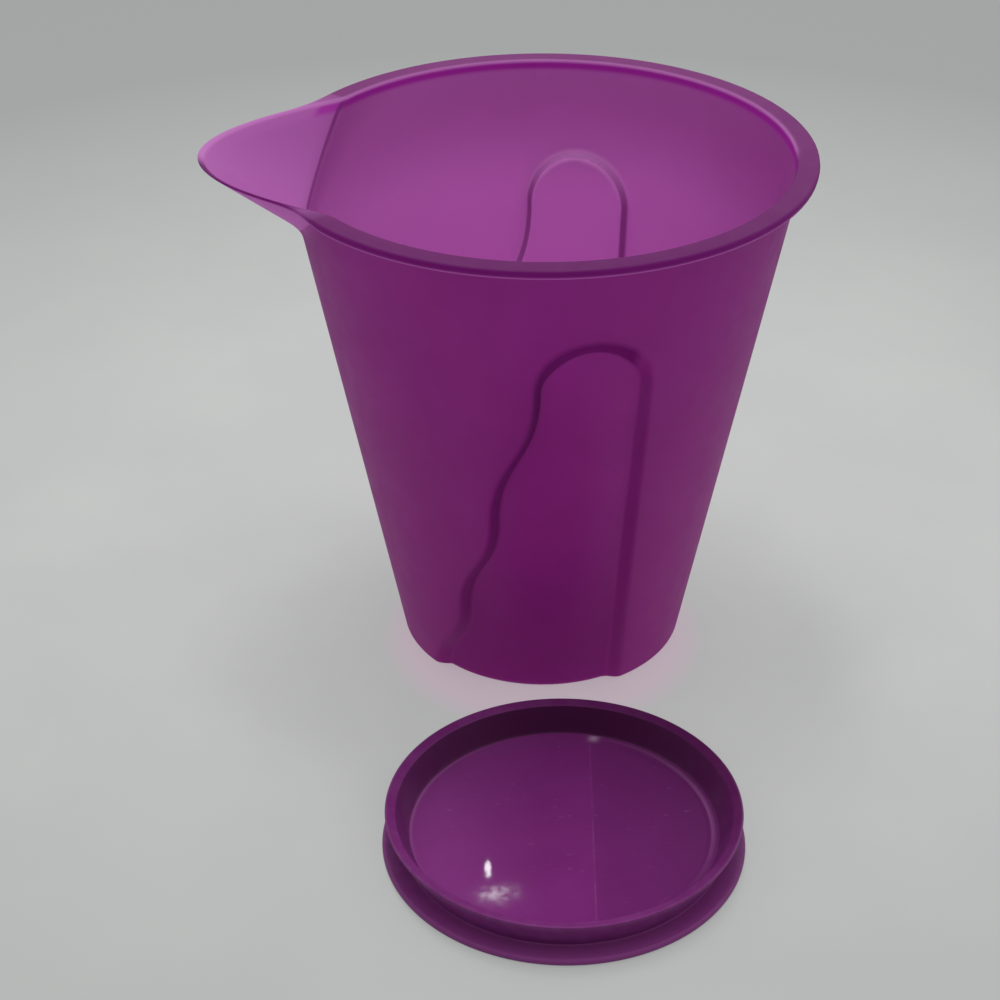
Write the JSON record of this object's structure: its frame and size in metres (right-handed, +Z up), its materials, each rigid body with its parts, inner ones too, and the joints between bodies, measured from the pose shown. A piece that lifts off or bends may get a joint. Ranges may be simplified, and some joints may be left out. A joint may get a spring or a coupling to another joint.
{
  "type": "pitcher",
  "caption": "Flared moulded plastic pitcher with an out-turned lip, pouring spout and pressed-in grip panels, and a loose flanged lid lying upside down in front of it.",
  "frame": {"origin": "middle of the pitcher's flat foot, on the table", "axes": "+Z up along the pitcher's axis, -X towards the spout, -Y towards the lid that lies in front"},
  "size_m": [0.1683, 0.2295, 0.15],
  "materials": {
    "frosted_wall": "frosted translucent purple",
    "lid_plastic": "denser purple, polished inside"
  },
  "bodies": {
    "pitcher": {"pitcher_body": "frosted_wall"},
    "lid": {"lid": "lid_plastic"}
  },
  "joints": [
    {"name": "lid_lift", "type": "slide", "parent": "pitcher", "child": "lid", "axis": [0, 0, 1], "range_m": [0, 0.07]}
  ]
}
